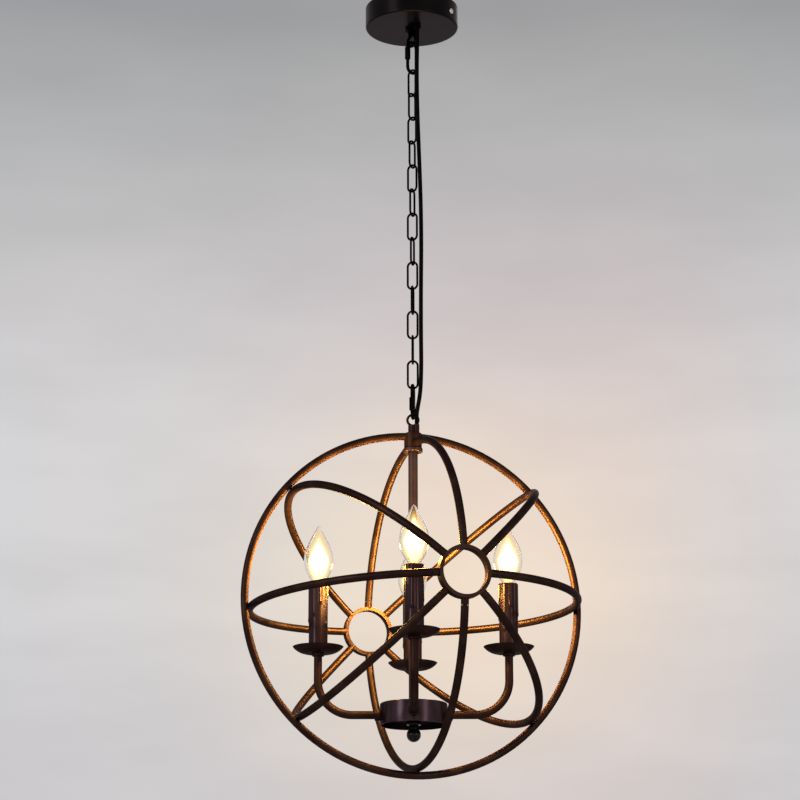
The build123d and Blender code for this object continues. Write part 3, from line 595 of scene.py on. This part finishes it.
def add_sleeve(name):
    def shape(angle, radius, z):
        if radius < CANDLE_RADIUS - SLEEVE_BORE_LIMIT:
            return radius
        turned = angle + math.radians(ARM_TURNS[name] * DRIP_TURN_SHARE)
        return radius + drip_height(turned, z)

    height = CANDLE_TOP_Z - CANDLE_BOTTOM_Z
    base = CANDLE_RADIUS - SLEEVE_INSET
    bore = CANDLE_RADIUS - CANDLE_WALL
    profile = [(base, CANDLE_BOTTOM_Z + height * row / SLEEVE_ROWS) for row in range(SLEEVE_ROWS + 1)]
    profile += [
        (base - SLEEVE_RIM_OUTER, CANDLE_TOP_Z + SLEEVE_RIM_RISE),
        (bore + SLEEVE_RIM_INNER, CANDLE_TOP_Z),
        (bore, CANDLE_TOP_Z - SLEEVE_RIM_DROP),
        (bore, CANDLE_BOTTOM_Z),
    ]
    sleeve = lathe("candle_sleeve_" + name, arm_place(name), profile, SLEEVE_BRONZE,
                   SLEEVE_SEGMENTS, shape, closed=True)
    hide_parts("candle_sleeves")
    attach(sleeve, "pendant")


# --- Power cord ---
def add_cord():
    curve = bpy.data.curves.new("power_cord_line", "CURVE")
    curve.dimensions = "3D"
    spline = curve.splines.new("NURBS")
    spline.points.add(len(CORD_POINTS) - 1)
    for point, place in zip(spline.points, CORD_POINTS):
        point.co = (*place, 1.0)
        point.radius = CORD_DIAMETER / 2
    spline.order_u = 3
    spline.use_endpoint_u = True
    spline.resolution_u = 12
    curve.bevel_depth = 1.0
    curve.bevel_resolution = 6
    curve.use_fill_caps = True
    curve.materials.append(CORD_SHEATH)
    cord = bpy.data.objects.new("cord", curve)
    bpy.context.scene.collection.objects.link(cord)
    for number, body in enumerate(CORD_BODIES):
        hook = cord.modifiers.new("hook_%02d" % number, "HOOK")
        hook.object = frame["bodies"][body]
        hook.vertex_indices_set([number])
        hook.matrix_inverse = frame["bodies"][body].matrix_world.inverted()
    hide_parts("power_cord")
    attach(cord, "ceiling_side")


# --- Floor, backdrop and lights ---
def add_floor():
    size = FLOOR_HALF_WIDTH
    signs = [(-1, -1), (1, -1), (1, 1), (-1, 1)]
    corners = [(x * size, y * size, FLOOR_Z) for x, y in signs]
    made = finish_material(
        "floor", (0.82, 0.81, 0.80), (0.85, 0.84, 0.83), (0.88, 0.87, 0.86),
        0.0, (0.7, 0.85), 60.0, 0.0005, 2.0)
    floor = link_mesh("floor", corners, [(0, 1, 2, 3)], made, False)


def wall_colour(tree):
    """Cool at the left, with painted warm bulb light on the wall right of the middle and a painted pool
    of it behind the orb, faintly clouded.
    """
    direction = tree.nodes.new("ShaderNodeTexCoord").outputs["Generated"]
    split = tree.nodes.new("ShaderNodeSeparateXYZ")
    tree.links.new(direction, split.inputs["Vector"])
    across = map_range(tree, split.outputs["X"], (-WALL_EDGE, WALL_EDGE)).outputs["Result"]
    # Mix in the painted warm bulb light right of the middle.
    plain = tree.nodes.new("ShaderNodeMix")
    plain.data_type = "RGBA"
    tree.links.new(ramp(tree, across, PAINTED_LAMPLIGHT_SPREAD), plain.inputs["Factor"])
    tree.links.new(ramp(tree, split.outputs["Z"], WALL_COOL), plain.inputs["A"])
    tree.links.new(ramp(tree, split.outputs["Z"], WALL_PAINTED_LAMPLIGHT), plain.inputs["B"])

    # A painted pool of the bulbs' warm light on the wall, round the way to the orb.
    away = tree.nodes.new("ShaderNodeVectorMath")
    away.operation = "DISTANCE"
    away.inputs[1].default_value = ORB_DIRECTION
    tree.links.new(direction, away.inputs[0])
    near = map_range(tree, away.outputs["Value"], (PAINTED_GLOW_INNER, PAINTED_GLOW_OUTER), (1.0, 0.0))
    near.interpolation_type = "SMOOTHSTEP"
    glow = tree.nodes.new("ShaderNodeMix")
    glow.data_type = "RGBA"
    glow.blend_type = "MULTIPLY"
    glow.inputs["B"].default_value = PAINTED_GLOW_COLOUR
    tree.links.new(near.outputs["Result"], glow.inputs["Factor"])
    tree.links.new(plain.outputs["Result"], glow.inputs["A"])

    streaks = noise(tree, mapped(tree, direction, CLOUD_STRETCH), CLOUD_SCALE, 3.0, 0.5)
    clouded = tree.nodes.new("ShaderNodeVectorMath")
    clouded.operation = "SCALE"
    tree.links.new(glow.outputs["Result"], clouded.inputs[0])
    tree.links.new(spread(tree, streaks, CLOUD_RANGE), clouded.inputs["Scale"])
    return clouded.outputs["Vector"]


def add_world():
    """Plain light all round. What the camera, gloss and glass see of it is a pale wall."""
    world = bpy.data.worlds.new("backdrop")
    bpy.context.scene.world = world
    world.use_nodes = True
    tree = world.node_tree
    tree.nodes.clear()
    output = tree.nodes.new("ShaderNodeOutputWorld")
    wall = tree.nodes.new("ShaderNodeBackground")
    light = tree.nodes.new("ShaderNodeBackground")
    light.inputs["Color"].default_value = ROOM_LIGHT_COLOUR
    light.inputs["Strength"].default_value = ROOM_LIGHT_STRENGTH
    tree.links.new(wall_colour(tree), wall.inputs["Color"])
    wall.inputs["Strength"].default_value = 1.0
    path = tree.nodes.new("ShaderNodeLightPath")
    seen = path.outputs["Is Camera Ray"]
    for kind in ("Is Glossy Ray", "Is Transmission Ray"):
        either = tree.nodes.new("ShaderNodeMath")
        either.operation = "MAXIMUM"
        tree.links.new(seen, either.inputs[0])
        tree.links.new(path.outputs[kind], either.inputs[1])
        seen = either.outputs["Value"]
    choose = tree.nodes.new("ShaderNodeMixShader")
    tree.links.new(seen, choose.inputs["Fac"])
    tree.links.new(light.outputs["Background"], choose.inputs[1])
    tree.links.new(wall.outputs["Background"], choose.inputs[2])
    tree.links.new(choose.outputs["Shader"], output.inputs["Surface"])


def add_area_light(name, place, target, size, watts, colour):
    data = bpy.data.lights.new(name, "AREA")
    data.shape = "RECTANGLE"
    data.size = size[0]
    data.size_y = size[1]
    data.energy = watts
    data.color = colour
    lamp = bpy.data.objects.new(name, data)
    lamp.location = place
    lamp.rotation_euler = (Vector(target) - Vector(place)).to_track_quat("-Z", "Y").to_euler()
    lamp.visible_camera = False
    bpy.context.scene.collection.objects.link(lamp)


def add_lights():
    """A large soft light at the left, a weaker one at the right and a faint one behind."""
    add_area_light("light_left", (-2.4, -2.2, 0.3), (0, 0, -0.5), (0.9, 1.8), 22, (0.96, 0.97, 1.0))
    add_area_light("light_right", (2.2, -2.6, -0.2), (0, 0, -0.6), (0.7, 1.8), 9, (1.0, 0.96, 0.94))
    add_area_light("light_back", (0.6, 2.6, 0.8), (0, 0, -0.6), (1.6, 1.0), 4, (1.0, 0.98, 0.96))


add_camera()
dress_nodes()
add_cord()
for arm_name in ARM_TURNS:
    add_bulb(arm_name)
    add_sleeve(arm_name)
add_floor()
add_world()
add_lights()
bpy.context.scene.view_settings.view_transform = "Standard"
